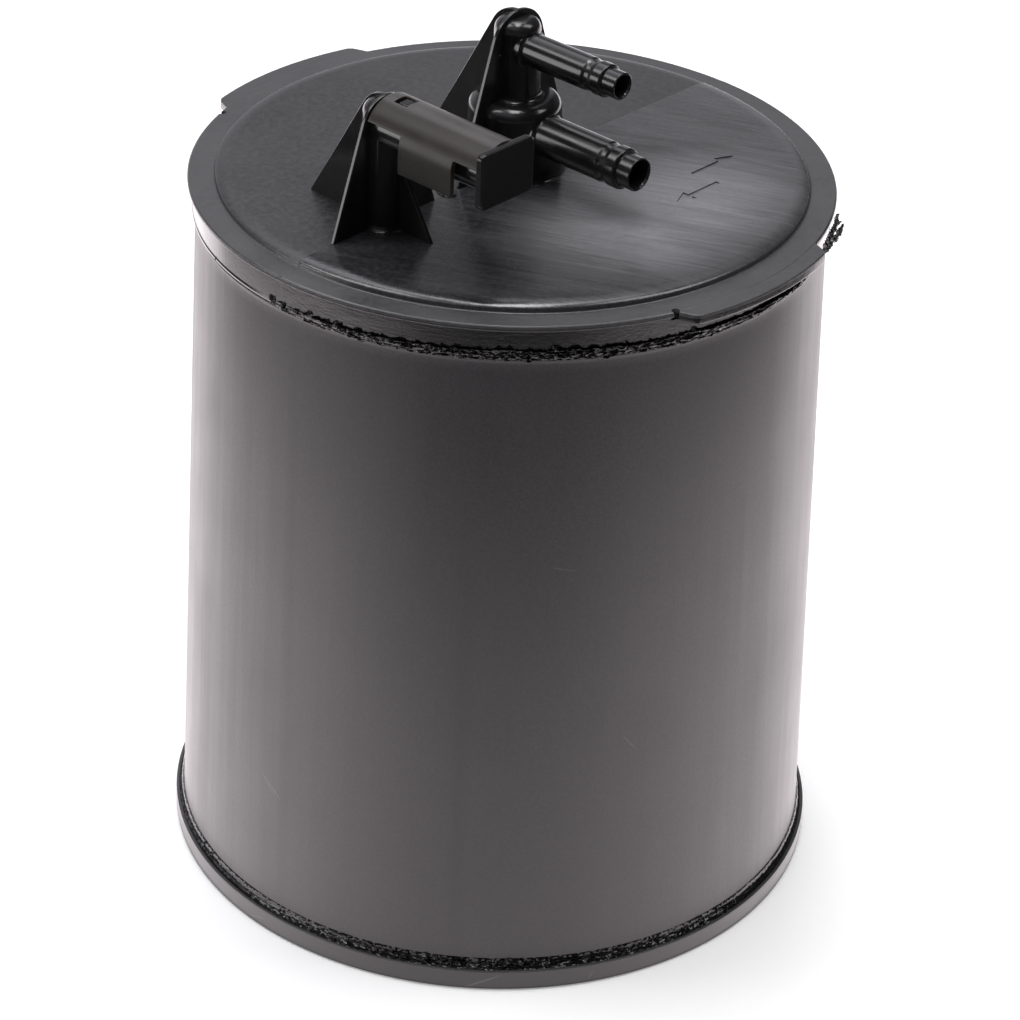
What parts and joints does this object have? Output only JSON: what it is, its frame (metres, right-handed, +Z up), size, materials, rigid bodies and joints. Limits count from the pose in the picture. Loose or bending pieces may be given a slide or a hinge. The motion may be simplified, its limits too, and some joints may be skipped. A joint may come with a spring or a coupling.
{
  "type": "charcoal canister",
  "caption": "Round welded evaporative charcoal canister with tapered can, lipped base, hose nipples on a ribbed stack and a shielded vent, holding a spring-packed carbon bed.",
  "frame": {"origin": "middle of the underside, on the plane it stands on", "axes": "+Z up along the can's axis; hose nipples point along -Y; vent stack on the -X side"},
  "size_m": [0.1642, 0.1642, 0.2227],
  "materials": {
    "shell": "satin black moulded nylon",
    "cover": "semi-gloss black moulded nylon",
    "cap": "satin dark grey moulded plastic",
    "filter_pad": "open-cell foam and felt pad",
    "charcoal": "packed carbon pellets",
    "retainer": "natural moulded nylon",
    "spring": "drawn spring wire"
  },
  "bodies": {
    "root": {"canister_body": "shell", "top_cover": "cover", "bottom_cover": "shell", "vent_cap": "cap", "tank_side_top_filter": "filter_pad", "vent_side_top_filter": "filter_pad", "tank_side_charcoal_bed": "charcoal", "vent_side_charcoal_bed": "charcoal", "tank_spring_front": "spring", "tank_spring_rear": "spring", "tank_spring_right": "spring", "vent_spring_front": "spring", "vent_spring_rear": "spring"},
    "tank_side_plate": {"tank_side_retainer_plate": "retainer", "tank_side_bottom_filter": "filter_pad"},
    "vent_side_plate": {"vent_side_retainer_plate": "retainer", "vent_side_bottom_filter": "filter_pad"}
  },
  "joints": [
    {"name": "tank_plate_slide", "type": "slide", "parent": "root", "child": "tank_side_plate", "axis": [0, 0, 1], "range_m": [-0.006, 0], "stiffness_N_per_m": 3000, "springref_m": 0.008, "deforming": ["tank_spring_front", "tank_spring_rear", "tank_spring_right"]},
    {"name": "vent_plate_slide", "type": "slide", "parent": "root", "child": "vent_side_plate", "axis": [0, 0, 1], "range_m": [-0.006, 0], "stiffness_N_per_m": 2000, "springref_m": 0.008, "deforming": ["vent_spring_front", "vent_spring_rear"]}
  ]
}
